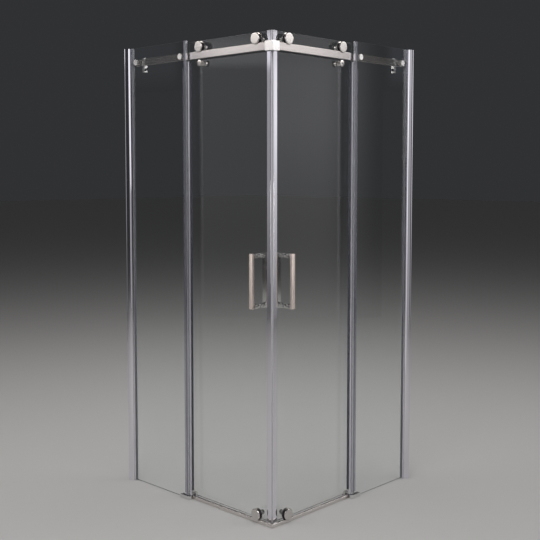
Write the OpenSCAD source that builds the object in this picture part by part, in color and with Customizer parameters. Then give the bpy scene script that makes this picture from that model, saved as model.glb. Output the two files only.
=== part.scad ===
// Corner-entry shower enclosure with two frameless sliding doors.
// Each panel is drawn in its own frame: x runs from the outer corner towards the wall,
// y runs from the outer face of the fixed glass into the shower, and z is up.

/* [Enclosure] */
// Length of each panel, from the outer corner to the wall
panel_l = 890; // [860:1:1000]
// Height of the glass and the profiles
height = 1950; // [1800:1:2100]
// Thickness of all the glass
glass_t = 8; // [6:1:10]
// Small bevel on the upright edges of the glass
glass_bevel = 0.8; // [0.3:0.1:1.2]

/* [Depths] */
// Gap between the fixed glass and the rail
rail_gap = 8; // [8:0.5:12]
// Gap between the rail and the door glass
door_gap = 16; // [15:0.5:24]

/* [Rail] */
// Thickness of the rail
rail_t = 10; // [8:0.5:11]
// Height of the rail
rail_h = 30; // [28:1:36]
// Radius along the edges of the rail
rail_edge_r = 1.2; // [0.5:0.1:2]
// Distance of the rail's top below the top of the glass
rail_drop = 47; // [45:1:60]
// Distance of the rail's far end from the wall
rail_end_gap = 42; // [38:1:44]
// Wall of the corner sleeve round the rails
elbow_wall = 4; // [3:0.5:5]
// Length of each outer face of the corner sleeve
elbow_leg = 41; // [38:1:50]
// Running gap round a rail inside the corner sleeve
elbow_clear = 0.15; // [0.05:0.05:0.3]

/* [Fixed pane] */
// Gap between the fixed glass and the floor
fixed_lift = 5; // [4:0.5:8]
// Distance of the fixed glass edge from the wall
fixed_wall_gap = 14; // [11:1:16]
// Distance of the front standoff from the free edge of the glass
standoff_inset = 34; // [27:1:45]
// Distance of the rear standoff from the wall
standoff_wall_gap = 57; // [56:1:60]
// Radius of a standoff's cap
cap_r = 13; // [11:0.5:15]
// Thickness of a standoff's cap
cap_t = 4; // [3:0.5:6]
// Radius of a standoff's threaded shank
shank_r = 4; // [3:0.5:5]
// Radius of the holes in the fixed glass
standoff_hole_r = 6; // [5.5:0.5:7]

/* [Wall profiles] */
// Radius of the rounded outer side of the wall channel
channel_r = 24; // [23:0.5:28]
// Thickness of the wall channel's back
channel_back = 3; // [2:0.5:4]
// Thickness of the wall channel's other walls
channel_wall = 1.7; // [1.2:0.1:2.2]
// Outer width of the glass channel
glass_channel_w = 20; // [18:0.5:22]
// Wall of the glass channel
glass_channel_wall = 2; // [1.5:0.1:2.5]
// Distance of the glass channel's back from the wall
glass_channel_set = 5; // [4:0.5:7]
// Length of the glass channel away from the wall
glass_channel_l = 26; // [25:0.5:28]
// Sliding gap between the two channels
channel_clear = 0.3; // [0.1:0.1:0.5]
// Radius of the wall screw holes
wall_hole_r = 2.6; // [2:0.1:3.5]
// Distance of the lowest and highest wall screws from the ends
wall_hole_end = 120; // [80:5:200]
// Radius of the head of a lock screw
lock_head_r = 3.5; // [3:0.1:4]
// Radius of the shank of a lock screw
lock_r = 1.9; // [1.5:0.1:2.2]
// Distance of the end lock screws from the channel's ends
lock_end = 65; // [50:5:100]

/* [Door] */
// Width of the door glass
door_w = 470; // [440:1:500]
// Distance from the door glass's inner corner to the enclosure's diagonal
corner_gap = 8; // [7:0.5:12]
// Overlap of the door behind the fixed pane when shut
door_overlap = 27; // [20:1:34]
// Gap between the door glass and the floor
door_lift = 10; // [9:0.5:14]
// Radius of the holes in the door glass for the rollers
roller_hole_r = 7; // [6:0.5:8]
// Distance of the leading rollers from the door's leading glass edge
lead_inset = 49; // [45:1:70]
// Distance of the trailing roller from the door's trailing glass edge
trail_inset = 91; // [70:1:93]

/* [Rollers] */
// Radius of the nylon tread
tread_r = 18.2; // [16:0.1:20]
// Gap between the tread and its rail
tread_clear = 0.3; // [0.1:0.1:0.5]
// Width of the groove between the two discs
groove_w = 13; // [12:0.5:14]
// How far the discs reach below the top of the rail
disc_reach = 5; // [3:0.5:5.5]
// Thickness of the face disc
disc_t = 4; // [3:0.5:4.5]
// Bevel round the face disc
disc_bevel = 2; // [1:0.5:2.5]
// Thickness of the rear disc
rear_disc_t = 2.5; // [1.5:0.5:3]
// Outer radius of the bearing
bearing_r = 11; // [10:0.5:12]
// Bore radius of the bearing
bearing_bore_r = 4; // [3:0.5:5]
// Width of the bearing
bearing_w = 7; // [5:0.5:7]
// Running gap round the bearing
bearing_clear = 0.05; // [0.02:0.01:0.1]
// Radius of the axle's shoulder behind the roller
shoulder_r = 9; // [8:0.5:9.5]
// Radius of the bolts through the door glass
bolt_r = 5; // [4:0.5:5.5]
// Radius of the round nuts
nut_r = 9.5; // [9:0.5:11]
// Length of the round nuts
nut_l = 10; // [8:0.5:12]
// Thickness of every washer on the glass
washer_t = 1; // [0.5:0.1:1.5]

/* [Lift pin and stopper] */
// Radius of the lift pin's disc
lift_disc_r = 13.5; // [12:0.5:15]
// Gap between the rail and the lift pin's disc
lift_gap = 4; // [2:0.5:4.5]
// Distance from the rail's outer face to the lift pin's face
lift_set = 1.5; // [1:0.5:3]
// Width of the stopper along the rail
stop_w = 15; // [14:1:20]
// Distance of the stopper from the wall
stop_wall_gap = 90; // [88:1:100]
// Thickness of the stopper's plates
stop_plate = 2.2; // [2:0.1:3]
// How far the stopper hangs below the rail
stop_drop = 30; // [28:1:36]
// Radius of the rubber bumper
bumper_r = 5.5; // [4:0.5:6]
// Length of the rubber bumper
bumper_l = 9; // [8:0.5:12]

/* [Seals and door edge] */
// Wall of the clear seals
seal_t = 1.2; // [0.8:0.1:1.5]
// Length of a seal's legs over the glass
seal_leg = 11; // [8:1:13]
// Radius of the curved fin on the fixed pane's seal
fixed_fin_r = 7.5; // [5:0.5:8]
// Thickness of a magnet strip
magnet_t = 3; // [2:0.5:4]
// Gap between the two magnet strips
magnet_gap = 0.8; // [0.4:0.1:2]
// Length of the door's edge profile along the panel
edge_l = 24.5; // [22:0.5:28]
// Thickness of the edge profile in front of the glass
edge_front = 4.5; // [3:0.5:5]
// Thickness of the edge profile behind the glass
edge_rear = 4; // [3:0.5:5]

/* [Handles] */
// Width of a handle's bar
bar_w = 20; // [16:1:24]
// Thickness of a handle's bar
bar_t = 12; // [8:1:14]
// Length of a handle's bar
bar_l = 220; // [180:5:260]
// Radius along the edges of a handle
bar_edge_r = 1.5; // [0.5:0.1:2.5]
// Clear space between the outer bar and the glass
outer_reach = 35; // [30:1:40]
// Clear space between the inner bar and the glass
inner_reach = 25; // [22:1:35]
// Width of a handle's legs
leg_w = 16; // [12:1:18]
// Height of a handle's legs
leg_h = 18; // [16:1:22]
// Radius of the round foot of a leg
foot_r = 8; // [7:0.5:9]
// Length of the round foot of an outer leg
outer_foot_l = 12; // [8:1:14]
// Length of the round foot of an inner leg
inner_foot_l = 6; // [4:1:10]
// Radius of the handle's studs
stud_r = 4; // [3:0.5:5]
// Distance of the handles from the door's leading glass edge
handle_inset = 57; // [50:1:80]

/* [Floor rail and foot guide] */
// Height of the floor rail
sill_h = 15; // [12:0.5:20]
// Radius of the floor rail's top edges
sill_edge_r = 3; // [1:0.5:4]
// Length of the guide's nose in front of the fixed glass edge
guide_nose = 13; // [12:1:18]
// Length of the guide behind the fixed glass edge
guide_tail = 44; // [30:1:55]
// Height of the guide's lips
guide_h = 16; // [14:0.5:18]
// Thickness of the guide's lips
guide_lip = 6; // [4:0.5:7]
// Width of the arm that carries the fingers
arm_w = 25; // [20:1:30]
// Height of the arm
arm_h = 5; // [3:0.5:7]
// Height of the fingers
finger_h = 20; // [18:0.5:22]
// Thickness of the fingers
finger_t = 3.2; // [2.5:0.1:4]
// Thickness of the nylon pads on the fingers
pad_t = 1.2; // [0.8:0.1:1.5]
// Gap between a pad and the door glass
pad_gap = 0.5; // [0.3:0.1:1]

/* [Hidden] */
$fn = 64;

// Length that a cutter reaches past the surface it cuts
cut = 1;
glass_mid = glass_t / 2;

// Depths of the layers, from the outer face of the fixed glass
rail_y = glass_t + rail_gap;
rail_back = rail_y + rail_t;
door_y = rail_back + door_gap;
door_back = door_y + glass_t;

// Heights of the rail and of the rollers
rail_top = height - rail_drop;
rail_z = rail_top - rail_h;
rail_mid_z = rail_z + rail_h / 2;
axle_rise = tread_r + tread_clear;
top_axle_z = rail_top + axle_rise;
floor_axle_z = sill_h + axle_rise;
disc_r = axle_rise + disc_reach;

// Places along the panel
door_start = door_back + corner_gap;
door_end = door_start + door_w;
fixed_edge = door_end - door_overlap;
lead_x = door_start + lead_inset;
trail_x = door_end - trail_inset;
handle_x = door_start + handle_inset;
standoff_xs = [fixed_edge + standoff_inset, panel_l - standoff_wall_gap];
stop_x = panel_l - stop_wall_gap - stop_w;

// Each roller's place on the door: along the panel and up
lead_roller = [lead_x, top_axle_z];
trail_roller = [trail_x, top_axle_z];
floor_roller = [lead_x, floor_axle_z];
rollers = [lead_roller, trail_roller, floor_roller];

// Depths inside a roller, centred on the rail
groove_y = rail_y + rail_t / 2 - groove_w / 2;
groove_back = groove_y + groove_w;
face_y = groove_y - disc_t;
rear_disc_back = groove_back + rear_disc_t;
bearing_end_gap = 0.1;
bearing_y = groove_back - bearing_end_gap - bearing_w;
bearing_back = bearing_y + bearing_w;
seat_lip = 2.5;
head_t = 3;
collar_step = 2;
head_r = bearing_bore_r + collar_step;
collar_r = bearing_bore_r + collar_step;
collar_l = 1.5;
rear_bore_clear = 1;
nut_depth = 8;
nut_bevel = 1;
thread_clear = 0.05;
bolt_sink = 1;
bolt_end = door_back + washer_t + nut_depth - bolt_sink;

// Lift pin: a disc under the rail, a neck and a foot against the glass
lift_y = rail_y + lift_set;
lift_z = rail_z - lift_gap - lift_disc_r;
lift_disc_t = 4;
lift_bevel = 1;
lift_neck_r = 8;
lift_foot_r = 10;
lift_foot_l = 7;

// Stopper
stop_clear = 0.2;
stop_rise = stop_clear + stop_plate;
stop_edge_r = 1.5;
bumper_bevel = 2;
stop_gap = 0.5;
door_travel = stop_x - bumper_l - trail_x - lift_disc_r - stop_gap;
echo(door_travel = door_travel, corner = corner, tread_r = tread_r, door_y = door_y);

// Standoffs
spacer_y = glass_t + washer_t;
disc_miss = 1;
spacer_r = rail_h / 2 - disc_reach - disc_miss;
shank_sink = 1;
shank_end = rail_back - shank_sink;
shank_clear = 0.1;
cap_bevel = 1;
cap_washer_inset = 1;

// Wall profiles, measured from the wall
glass_channel_half = glass_channel_w / 2;
slot_half = glass_channel_half + channel_clear;
glass_channel_end = glass_channel_set + glass_channel_l;
glass_channel_web = 3;
gasket_t = glass_channel_half - glass_channel_wall - glass_mid;
gasket_l = 10;
gasket_lip = 2;
gasket_taper = 0.8;
wall_hole_n = 4;
wall_hole_step = (height - 2 * wall_hole_end) / (wall_hole_n - 1);
lock_zs = [lock_end, height / 2, height - lock_end];
lock_head_t = 2;
lock_head_bevel = 1;
lock_tip = 5;
lock_set = 14;

// Corner sleeve
elbow_y = rail_y - elbow_wall;
elbow_back = rail_back + elbow_wall;
elbow_end = elbow_y + elbow_leg;
elbow_bevel = 0.6;
rail_start_gap = 2;
rail_start = rail_back + rail_start_gap;
set_screw_r = 2.5;
set_screw_inset = 11;
set_screw_x = elbow_end - set_screw_inset;
set_screw_spread = 8;
set_screw_clear = 0.1;
set_screw_sink = 1;
set_screw_proud = 0.5;

// Seals
fixed_seal_lift = 1;
fixed_fin_gap = 8;
door_seal_lift = 4;
door_seal_gap = 7;
door_seal_top = rail_z - door_seal_gap;
door_fin_gap = 5;
door_fin_top = rail_z - stop_drop - door_fin_gap;
fin_tip_gap = 1.2;
fin_tip_r = 4;

// Edge profile: its leading face is cut at 45 degrees for the magnet strip
edge_grip = 10;
edge_x = door_start + edge_grip - edge_l;
edge_y = door_y - edge_front;
edge_back = door_back + edge_rear;
edge_clear = 0.1;
edge_round = 3;
magnet_set = magnet_gap / 2;
magnet_margin = 2.6;
magnet_w = (edge_back - edge_y) * sqrt(2) - 2 * magnet_margin;
magnet_start = (edge_y + edge_y) / sqrt(2) + 2 * magnet_margin;

// Handles
handle_z = height / 2;
leg_zs = [handle_z - bar_l / 2, handle_z + bar_l / 2 - leg_h];
stud_clear = 0.05;
stud_l = 18;
leg_edge_r = 1;
handle_hole_clear = 2;
handle_hole_r = stud_r + handle_hole_clear;

// Foot guide
guide_clear = 0.3;
guide_x = fixed_edge - guide_nose;
guide_end = fixed_edge + guide_tail;
guide_y = -guide_clear - guide_lip;
guide_back = glass_t + guide_clear + guide_lip;
guide_round = (guide_back - guide_y) / 2;
arm_set = 7;
arm_x = guide_x + arm_set;
finger_front = door_y - pad_gap - pad_t - finger_t;
finger_rear = door_back + pad_gap + pad_t;
sill_end = arm_x;
mitre_gap = 0.1;

// How far the outermost pieces stand outside the corner, which centres the part
outer_reach_y = max(channel_r - glass_mid, outer_reach + bar_t - door_y, -guide_y,
    cap_t + washer_t);
corner = (panel_l - outer_reach_y) / 2;

steel = "#d3ccc6";
chrome = "#c6c4cd";
clear_glass = [0.72, 0.80, 0.80, 0.28];
clear_pvc = [0.78, 0.80, 0.90, 0.55];
black_nylon = "#1b1b1d";
white_nylon = "#e4e2dc";
black_rubber = "#2a2a2c";

// Places a panel's piece on the front of the enclosure, which faces -Y
module on_front() {
    translate([corner, -corner, 0]) mirror([1, 0, 0]) children();
}

// Places a panel's piece on the side of the enclosure, which faces +X
module on_side() {
    translate([corner, -corner, 0]) rotate([0, 0, 90]) children();
}

// Draws the same group of small pieces on both panels
module on_both() {
    on_front() children();
    on_side() children();
}

// Turns a piece drawn along z so that it points into the shower at depth 0
module facing_in(x, z) {
    translate([x, 0, z]) rotate([-90, 0, 0]) children();
}

// Flat rectangle with round corners, from its lower left corner
module rounded_rect(w, h, r) {
    translate([r, 0]) square([w - 2 * r, h]);
    translate([0, r]) square([w, h - 2 * r]);
    for (x = [r, w - r], y = [r, h - r]) translate([x, y]) circle(r = r);
}

// Bar along the panel with its section drawn in depth and height
module bar_along(x0, x1) {
    translate([x0, 0, 0]) rotate([90, 0, 90]) linear_extrude(x1 - x0) children();
}

// Upright piece with its section drawn in plan
module upright(z0, z1) {
    translate([0, 0, z0]) linear_extrude(z1 - z0) children();
}

// Upright piece at the wall, its section drawn from the wall outwards
module at_wall(z0, z1) {
    upright(z0, z1) translate([panel_l, 0]) mirror([1, 0]) children();
}

// Ring about an axle, from depth y0 to y1
module ring(r, bore, y0, y1) {
    translate([0, 0, y0]) difference() {
        cylinder(r = r, h = y1 - y0);
        translate([0, 0, -cut]) cylinder(r = bore, h = y1 - y0 + 2 * cut);
    }
}

// Plan of a glass sheet with bevelled upright edges
module glass_plan(x0, x1) {
    b = glass_bevel;
    polygon([[x0 + b, 0], [x1 - b, 0], [x1, b], [x1, glass_t - b], [x1 - b, glass_t],
        [x0 + b, glass_t], [x0, glass_t - b], [x0, b]]);
}

// Section of the wall channel: a quarter round outside, flat inside, open to the glass
module wall_channel_plan() {
    difference() {
        union() {
            intersection() {
                translate([0, glass_mid]) circle(r = channel_r);
                translate([0, glass_mid - channel_r]) square(channel_r);
            }
            translate([0, glass_mid]) square([channel_r, slot_half + channel_wall]);
        }
        translate([channel_back, glass_mid - slot_half]) square([channel_r, 2 * slot_half]);
        intersection() {
            translate([0, glass_mid]) circle(r = channel_r - channel_wall);
            translate([channel_back, glass_mid - channel_r])
                square([channel_r, channel_r - slot_half - channel_wall]);
        }
    }
}

module lock_holes(r) {
    for (z = lock_zs) facing_in(panel_l - lock_set, z) cylinder(r = r, h = channel_r * 2);
}

module wall_channel() {
    color(chrome) difference() {
        at_wall(0, height) wall_channel_plan();
        for (i = [0 : wall_hole_n - 1])
            translate([panel_l - channel_back - cut, glass_mid,
                wall_hole_end + i * wall_hole_step]) rotate([0, 90, 0])
                cylinder(r = wall_hole_r, h = channel_back + 2 * cut);
        lock_holes(lock_r + channel_clear);
    }
}

module glass_channel() {
    color(chrome) difference() {
        at_wall(0, height) difference() {
            translate([glass_channel_set, glass_mid - glass_channel_half])
                square([glass_channel_l, glass_channel_w]);
            translate([glass_channel_set + glass_channel_web,
                glass_mid - glass_channel_half + glass_channel_wall])
                square([glass_channel_l, glass_channel_w - 2 * glass_channel_wall]);
        }
        lock_holes(lock_r + shank_clear);
    }
}

module lock_screws() {
    back = glass_mid + slot_half + channel_wall;
    color(steel) for (z = lock_zs) facing_in(panel_l - lock_set, z) {
        translate([0, 0, back - lock_tip]) cylinder(r = lock_r, h = lock_tip);
        translate([0, 0, back])
            cylinder(r1 = lock_head_r, r2 = lock_head_r - lock_head_bevel, h = lock_head_t);
    }
}

// One wedge strip between the glass and its channel, thicker at its lip
module gasket_plan() {
    s0 = glass_channel_end - gasket_l;
    s1 = glass_channel_end + gasket_lip;
    polygon([[s0, 0], [s1, 0], [s1, gasket_t - gasket_taper], [glass_channel_end, gasket_t],
        [s0, gasket_t]]);
}

module wall_gasket() {
    color(clear_pvc) at_wall(fixed_lift, height) {
        translate([0, glass_t]) gasket_plan();
        mirror([0, 1]) gasket_plan();
    }
}

module fixed_glass() {
    color(clear_glass) difference() {
        upright(fixed_lift, height) glass_plan(fixed_edge, panel_l - fixed_wall_gap);
        for (x = standoff_xs) facing_in(x, rail_mid_z) translate([0, 0, -cut])
            cylinder(r = standoff_hole_r, h = glass_t + 2 * cut);
    }
}

// Clear profile over the free edge of the fixed glass, with a fin curved into the shower
module fixed_seal() {
    color(clear_pvc) {
        upright(guide_h + fixed_seal_lift, height) difference() {
            translate([fixed_edge - seal_t, -seal_t])
                square([seal_leg + seal_t, glass_t + 2 * seal_t]);
            translate([fixed_edge, 0]) square([seal_leg + cut, glass_t]);
        }
        upright(guide_h + fixed_seal_lift, rail_z - fixed_fin_gap)
            translate([fixed_edge, glass_t + fixed_fin_r - seal_t]) difference() {
                circle(r = fixed_fin_r);
                circle(r = fixed_fin_r - seal_t);
                translate([0, -2 * fixed_fin_r]) square(4 * fixed_fin_r);
                translate([-2 * fixed_fin_r, 0]) square(4 * fixed_fin_r);
            }
    }
}

module rail() {
    color(steel) difference() {
        bar_along(rail_start, panel_l - rail_end_gap)
            translate([rail_y, rail_z]) rounded_rect(rail_t, rail_h, rail_edge_r);
        for (x = standoff_xs) facing_in(x, rail_mid_z) translate([0, 0, rail_y - cut])
            cylinder(r = shank_r + shank_clear, h = rail_t + 2 * cut);
    }
}

// One leg of the corner sleeve, a solid bar before its socket is cut
module elbow_bar() {
    z0 = rail_z - elbow_wall;
    h = rail_h + 2 * elbow_wall;
    w = rail_t + 2 * elbow_wall;
    b = elbow_bevel;
    bar_along(elbow_y, elbow_end) translate([elbow_y, z0]) polygon([[b, 0], [w - b, 0],
        [w, b], [w, h - b], [w - b, h], [b, h], [0, h - b], [0, b]]);
}

module elbow_cuts() {
    bar_along(rail_start - elbow_clear, elbow_end + cut)
        translate([rail_y - elbow_clear, rail_z - elbow_clear])
            square([rail_t + 2 * elbow_clear, rail_h + 2 * elbow_clear]);
    for (dz = [-set_screw_spread, set_screw_spread])
        facing_in(set_screw_x, rail_mid_z + dz) translate([0, 0, rail_back])
            cylinder(r = set_screw_r, h = elbow_wall + cut);
}

module rail_corner() {
    color(steel) difference() {
        union() {
            elbow_bar();
            mirror([1, -1, 0]) elbow_bar();
        }
        elbow_cuts();
        mirror([1, -1, 0]) elbow_cuts();
    }
}

module set_screw(x, z, l) {
    facing_in(x, z) translate([0, 0, rail_back])
        cylinder(r = set_screw_r - set_screw_clear, h = l);
}

module panel_set_screws() {
    color(steel) {
        for (dz = [-set_screw_spread, set_screw_spread])
            set_screw(set_screw_x, rail_mid_z + dz, elbow_wall - set_screw_sink);
        set_screw(stop_x + stop_w / 2, rail_mid_z,
            stop_clear + stop_plate + set_screw_proud);
    }
}

module standoff_cap_pair() {
    color(steel) for (x = standoff_xs) facing_in(x, rail_mid_z)
        rotate_extrude() polygon([[0, -washer_t - cap_t], [cap_r - cap_bevel, -washer_t - cap_t],
            [cap_r, cap_bevel - washer_t - cap_t], [cap_r, -washer_t], [shank_r, -washer_t],
            [shank_r, shank_end], [0, shank_end]]);
}

module standoff_spacer_pair() {
    color(steel) for (x = standoff_xs) facing_in(x, rail_mid_z)
        ring(spacer_r, shank_r + shank_clear, spacer_y, rail_y);
}

module standoff_washer_set() {
    color(clear_pvc) for (x = standoff_xs) facing_in(x, rail_mid_z) {
        ring(cap_r - cap_washer_inset, shank_r + shank_clear, -washer_t, 0);
        ring(spacer_r, shank_r + shank_clear, glass_t, spacer_y);
    }
}

// Clip over the rail: two plates and a bridge, closed below the rail by a block
module stopper() {
    y0 = rail_y - stop_clear - stop_plate;
    w = rail_t + 2 * (stop_clear + stop_plate);
    z0 = rail_z - stop_drop;
    h = stop_drop + rail_h + stop_rise;
    color(steel) difference() {
        bar_along(stop_x, stop_x + stop_w) difference() {
            translate([y0, z0]) rounded_rect(w, h, stop_edge_r);
            translate([rail_y - stop_clear, rail_z - stop_clear])
                square([rail_t + 2 * stop_clear, rail_h + 2 * stop_clear]);
        }
        facing_in(stop_x + stop_w / 2, rail_mid_z) translate([0, 0, rail_back])
            cylinder(r = set_screw_r, h = 2 * stop_plate);
    }
}

module bumper() {
    color(black_rubber) translate([stop_x, rail_y + rail_t / 2, lift_z]) rotate([0, -90, 0])
        rotate_extrude() polygon([[0, 0], [bumper_r, 0], [bumper_r, bumper_l - bumper_bevel],
            [bumper_r - bumper_bevel, bumper_l], [0, bumper_l]]);
}

// Low floor rail, its top edges rounded, mitred where the two meet at the corner
module threshold() {
    r = sill_edge_r;
    color(steel) difference() {
        bar_along(rail_y, sill_end) translate([rail_y, 0]) union() {
            square([rail_t, sill_h - r]);
            translate([r, 0]) square([rail_t - 2 * r, sill_h]);
            for (y = [r, rail_t - r]) translate([y, sill_h - r]) circle(r = r);
        }
        upright(-cut, sill_h + cut) polygon([[rail_y - cut, rail_y - cut - mitre_gap],
            [rail_back + cut, rail_back + cut - mitre_gap], [rail_y - cut, rail_back + cut]]);
    }
}

// Block round the foot of the fixed glass, with an arm and two fingers for the door
module foot_guide() {
    color(chrome) {
        difference() {
            upright(0, guide_h) {
                translate([guide_x + guide_round, guide_y + guide_round])
                    circle(r = guide_round);
                translate([guide_x + guide_round, guide_y])
                    square([guide_end - guide_x - guide_round, guide_back - guide_y]);
            }
            translate([fixed_edge - seal_t - guide_clear, -guide_clear, fixed_lift])
                cube([guide_tail + 2 * guide_clear + cut + seal_t, glass_t + 2 * guide_clear,
                    guide_h]);
        }
        translate([arm_x, guide_back - cut, 0])
            cube([arm_w, finger_rear + finger_t - guide_back + cut, arm_h]);
        for (y = [finger_front, finger_rear]) translate([arm_x, y, 0])
            cube([arm_w, finger_t, finger_h]);
    }
}

module guide_pad_pair() {
    color(white_nylon) for (y = [finger_front + finger_t, finger_rear - pad_t])
        translate([arm_x, y, arm_h]) cube([arm_w, pad_t, finger_h - arm_h]);
}

module door_glass() {
    color(clear_glass) difference() {
        upright(door_lift, height) translate([0, door_y]) glass_plan(door_start, door_end);
        for (p = rollers) facing_in(p[0], p[1]) translate([0, 0, door_y - cut])
            cylinder(r = roller_hole_r, h = glass_t + 2 * cut);
        facing_in(trail_x, lift_z) translate([0, 0, door_y - cut])
            cylinder(r = roller_hole_r, h = glass_t + 2 * cut);
        for (z = leg_zs) facing_in(handle_x, z + leg_h / 2) translate([0, 0, door_y - cut])
            cylinder(r = handle_hole_r, h = glass_t + 2 * cut);
    }
}

// Everything on the panel's side of the corner's diagonal, set back from it by a gap
module behind_diagonal(gap) {
    far = panel_l;
    rotate(45) translate([0, -far]) square([2 * far, far - gap]);
}

// Metal profile on the leading edge, rounded outside and cut to the diagonal
module edge_profile() {
    color(chrome) upright(door_lift, height) difference() {
        intersection() {
            translate([edge_x, edge_y])
                rounded_rect(edge_l, edge_back - edge_y, edge_round);
            behind_diagonal(magnet_set + magnet_t);
        }
        translate([door_start - edge_clear, door_y - edge_clear])
            square([edge_l, glass_t + 2 * edge_clear]);
    }
}

// Strip along the diagonal, flat against the edge profile's cut face
module magnet_strip() {
    color(white_nylon) upright(door_lift, height) rotate(45)
        translate([magnet_start, -magnet_set - magnet_t])
            square([magnet_w, magnet_t]);
}

// Clear profile over the trailing edge, with a long fin towards the fixed pane
module trailing_seal() {
    tip_y = glass_t + fin_tip_gap;
    z0 = finger_h + door_seal_lift;
    color(clear_pvc) {
        upright(z0, door_seal_top) difference() {
            translate([door_end - seal_leg, door_y - seal_t])
                square([seal_leg + seal_t, glass_t + 2 * seal_t]);
            translate([door_end - seal_leg - cut, door_y]) square([seal_leg + cut, glass_t]);
        }
        upright(z0, door_fin_top) {
            translate([door_end, tip_y + fin_tip_r])
                square([seal_t, door_y - tip_y - fin_tip_r]);
            translate([door_end + seal_t - fin_tip_r, tip_y + fin_tip_r]) difference() {
                circle(r = fin_tip_r);
                circle(r = fin_tip_r - seal_t);
                translate([-4 * fin_tip_r, -2 * fin_tip_r]) square(4 * fin_tip_r);
                translate([-2 * fin_tip_r, seal_t]) square(4 * fin_tip_r);
            }
        }
    }
}

// Upright bar of a handle with rounded edges, from depth y0
module handle_bar(y0) {
    upright(handle_z - bar_l / 2, handle_z + bar_l / 2)
        translate([handle_x - bar_w / 2, y0]) rounded_rect(bar_w, bar_t, bar_edge_r);
}

// Leg of a handle between depths y0 and y1
module handle_leg(z, y0, y1) {
    translate([handle_x - leg_w / 2, y1, z]) rotate([90, 0, 0])
        linear_extrude(y1 - y0) rounded_rect(leg_w, leg_h, leg_edge_r);
}

module handle_outer() {
    bar_back = door_y - outer_reach;
    leg_end = door_y - washer_t - outer_foot_l;
    color(steel) {
        handle_bar(bar_back - bar_t);
        for (z = leg_zs) {
            handle_leg(z, bar_back - cut, leg_end);
            facing_in(handle_x, z + leg_h / 2) {
                translate([0, 0, leg_end - cut]) cylinder(r = foot_r, h = outer_foot_l + cut);
                translate([0, 0, leg_end]) cylinder(r = stud_r,
                    h = door_back + stud_l - leg_end);
            }
        }
    }
}

module handle_inner() {
    foot_y = door_back + washer_t;
    leg_y = foot_y + inner_foot_l;
    bar_y = door_back + inner_reach;
    color(steel) difference() {
        union() {
            handle_bar(bar_y);
            for (z = leg_zs) {
                handle_leg(z, leg_y, bar_y + cut);
                facing_in(handle_x, z + leg_h / 2) translate([0, 0, foot_y])
                    cylinder(r = foot_r, h = inner_foot_l + cut);
            }
        }
        for (z = leg_zs) facing_in(handle_x, z + leg_h / 2)
            translate([0, 0, foot_y - cut]) cylinder(r = stud_r + stud_clear, h = stud_l + cut);
    }
}

// A washer on each face of the door glass
module washer_pair(r, bore) {
    ring(r, bore, door_y - washer_t, door_y);
    ring(r, bore, door_back, door_back + washer_t);
}

module washers() {
    color(clear_pvc) {
        for (p = rollers) facing_in(p[0], p[1]) washer_pair(shoulder_r, bolt_r + stud_clear);
        facing_in(trail_x, lift_z) washer_pair(shoulder_r, bolt_r + stud_clear);
        for (z = leg_zs) facing_in(handle_x, z + leg_h / 2)
            washer_pair(foot_r, stud_r + stud_clear);
    }
}

// Turned axle: head, journal in the bearing, collar, shoulder and bolt through the glass
module axle() {
    r = bearing_bore_r - bearing_clear;
    rotate_extrude() polygon([[0, bearing_y - head_t], [head_r, bearing_y - head_t],
        [head_r, bearing_y - bearing_clear], [r, bearing_y - bearing_clear],
        [r, bearing_back + bearing_clear], [collar_r, bearing_back + bearing_clear],
        [collar_r, groove_back + collar_l], [shoulder_r, groove_back + collar_l],
        [shoulder_r, door_y - washer_t], [bolt_r, door_y - washer_t], [bolt_r, bolt_end],
        [0, bolt_end]]);
}

module axles() {
    color(steel) for (p = rollers) facing_in(p[0], p[1]) axle();
}

// Bearing with its shields set a little below its faces
module bearing() {
    ring_w = 1.6;
    recess = 0.5;
    rotate_extrude() polygon([[bearing_bore_r, 0], [bearing_bore_r + ring_w, 0],
        [bearing_bore_r + ring_w, recess], [bearing_r - ring_w, recess], [bearing_r - ring_w, 0],
        [bearing_r, 0], [bearing_r, bearing_w], [bearing_r - ring_w, bearing_w],
        [bearing_r - ring_w, bearing_w - recess], [bearing_bore_r + ring_w, bearing_w - recess],
        [bearing_bore_r + ring_w, bearing_w], [bearing_bore_r, bearing_w]]);
}

module bearings() {
    color("#8f8f92") for (p = rollers) facing_in(p[0], p[1])
        translate([0, 0, bearing_y]) bearing();
}

// Round nut with bevelled rims and a blind threaded hole
module nut() {
    r = bolt_r + thread_clear;
    rotate_extrude() polygon([[r, 0], [nut_r - nut_bevel, 0], [nut_r, nut_bevel],
        [nut_r, nut_l - nut_bevel], [nut_r - nut_bevel, nut_l], [0, nut_l], [0, nut_depth],
        [r, nut_depth]]);
}

module nuts() {
    color(steel) for (p = concat(rollers, [[trail_x, lift_z]])) facing_in(p[0], p[1])
        translate([0, 0, door_back + washer_t]) nut();
}

module lift_pin() {
    foot_y = door_y - washer_t - lift_foot_l;
    color(steel) facing_in(trail_x, lift_z) rotate_extrude() polygon([[0, lift_y],
        [lift_disc_r - lift_bevel, lift_y], [lift_disc_r, lift_y + lift_bevel],
        [lift_disc_r, lift_y + lift_disc_t], [lift_neck_r, lift_y + lift_disc_t],
        [lift_neck_r, foot_y], [lift_foot_r, foot_y], [lift_foot_r, door_y - washer_t],
        [bolt_r, door_y - washer_t], [bolt_r, bolt_end], [0, bolt_end]]);
}

// Nylon tyre with a seat for the bearing and room for the axle's head
module tyre(p) {
    seat_r = bearing_r + bearing_clear;
    lip_r = bearing_r - seat_lip;
    color(black_nylon) facing_in(p[0], p[1]) rotate_extrude() polygon([[lip_r, groove_y],
        [tread_r, groove_y], [tread_r, groove_back], [seat_r, groove_back],
        [seat_r, bearing_y - bearing_clear], [lip_r, bearing_y - bearing_clear]]);
}

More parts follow.
